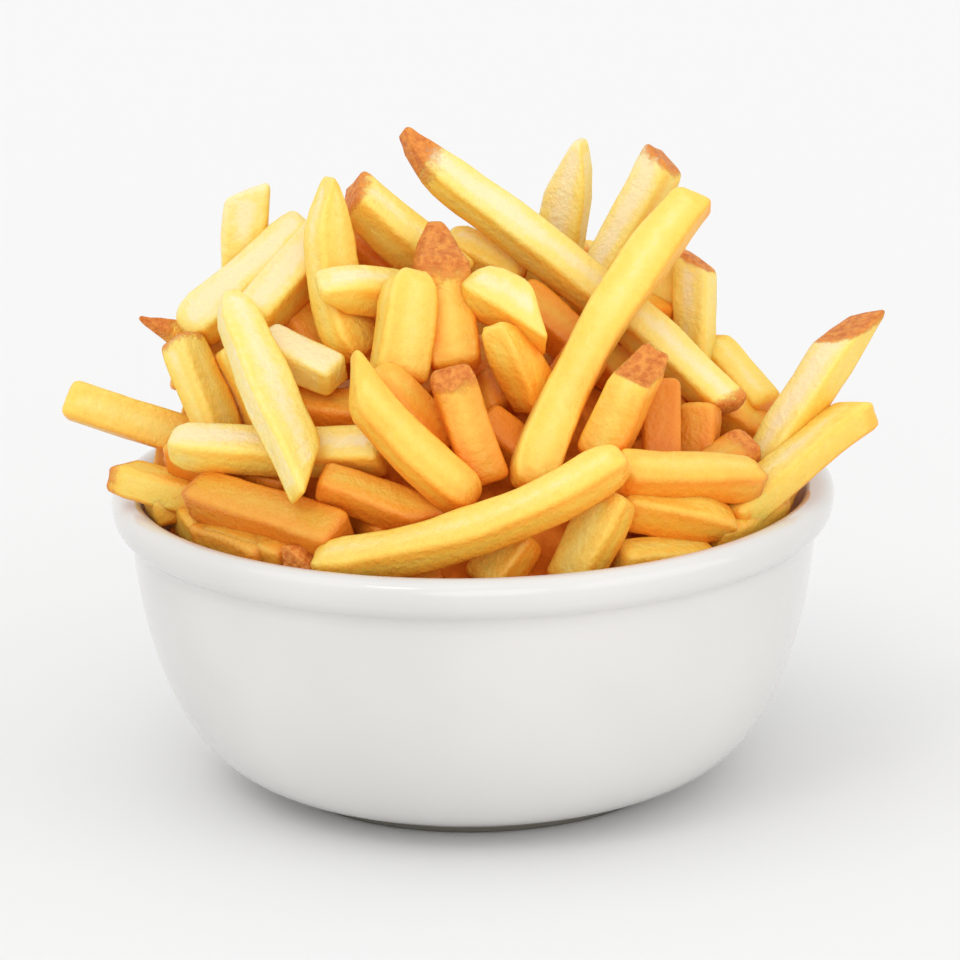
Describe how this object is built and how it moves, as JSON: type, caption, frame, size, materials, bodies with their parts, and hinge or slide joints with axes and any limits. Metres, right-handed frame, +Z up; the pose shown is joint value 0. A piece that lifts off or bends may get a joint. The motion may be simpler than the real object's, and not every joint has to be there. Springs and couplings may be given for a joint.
{
  "type": "french fries portion",
  "caption": "Heaped portion of french fries in a round white glazed bowl with a banded rim, standing on its flat foot.",
  "frame": {"origin": "middle of the flat underside of the bowl's foot, on the bowl's axis", "axes": "+Z up along the bowl's axis, -Y towards the front from which the portion is seen, +X to the right of that view"},
  "size_m": [0.1693, 0.15, 0.1352],
  "materials": {
    "bowl": "glossy white glaze",
    "fries": "fried golden, browned at some tips"
  },
  "bodies": {
    "root": {"bowl": "bowl", "fries": "fries"}
  },
  "joints": []
}
